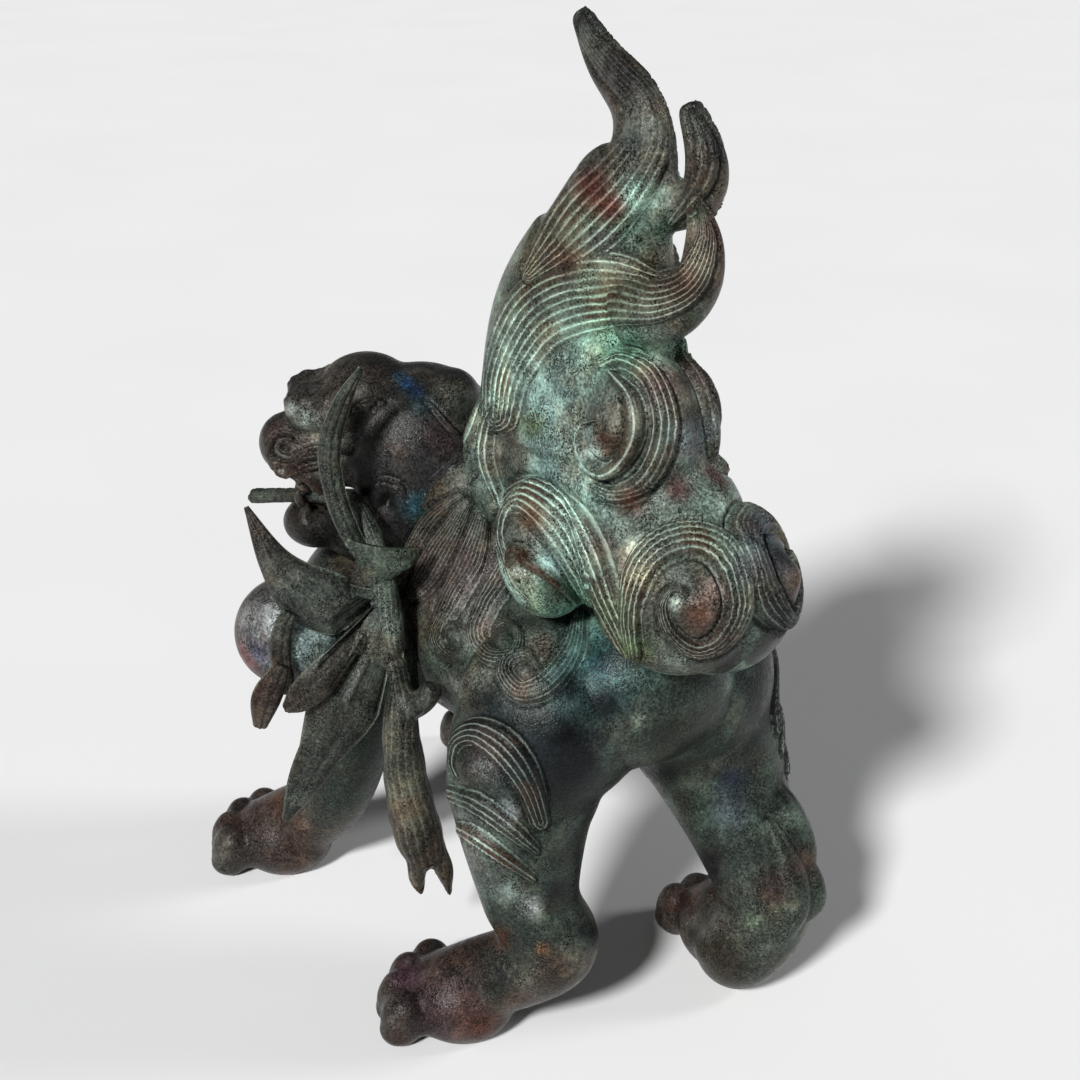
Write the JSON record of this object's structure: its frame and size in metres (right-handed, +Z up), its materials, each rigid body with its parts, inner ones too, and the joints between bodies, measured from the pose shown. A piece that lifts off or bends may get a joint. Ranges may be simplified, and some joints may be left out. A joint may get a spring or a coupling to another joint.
{
  "type": "foo dog statue",
  "caption": "Patinated bronze guardian lion standing on splayed paws, flame tail raised, leafy spray with a round bud in its mouth.",
  "frame": {"origin": "middle of the footprint of the whole statue, on the floor under the paws", "axes": "+Z up, -Y the way the body faces, +X the lion's left"},
  "size_m": [0.2089, 0.2915, 0.4067],
  "materials": {
    "bronze": "dark verdigris patina, semi-gloss",
    "verdigris_bronze": "pale turquoise patina, semi-gloss",
    "brown_bronze": "brown patina, satin",
    "black_bronze": "dull black-green patina"
  },
  "bodies": {
    "body": {"torso": "bronze", "belly_plate": "brown_bronze", "belly_rivet_front": "brown_bronze", "belly_rivet_rear": "brown_bronze", "head": "bronze", "tongue": "brown_bronze", "neck_dowel": "brown_bronze", "leg_front_left": "bronze", "leg_front_right": "bronze", "leg_hind_left": "bronze", "leg_hind_right": "bronze", "dowel_front_left": "brown_bronze", "dowel_front_right": "brown_bronze", "dowel_hind_left": "brown_bronze", "dowel_hind_right": "brown_bronze", "branch_stem": "black_bronze", "branch_lower": "black_bronze", "bud": "brown_bronze", "leaf_upright": "black_bronze", "leaf_veined": "black_bronze", "leaf_big": "black_bronze", "leaf_long": "black_bronze", "leaf_lobe": "black_bronze", "sepal_strip": "brown_bronze", "sepal_tip": "brown_bronze"},
    "tail": {"tail_base": "verdigris_bronze", "tail_flame_main": "bronze", "tail_prong_rear": "bronze", "tail_prong_lower": "bronze"}
  },
  "joints": [
    {"name": "tail_lift", "type": "slide", "parent": "body", "child": "tail", "axis": [0, 0, 1], "range_m": [0, 0.06]}
  ]
}
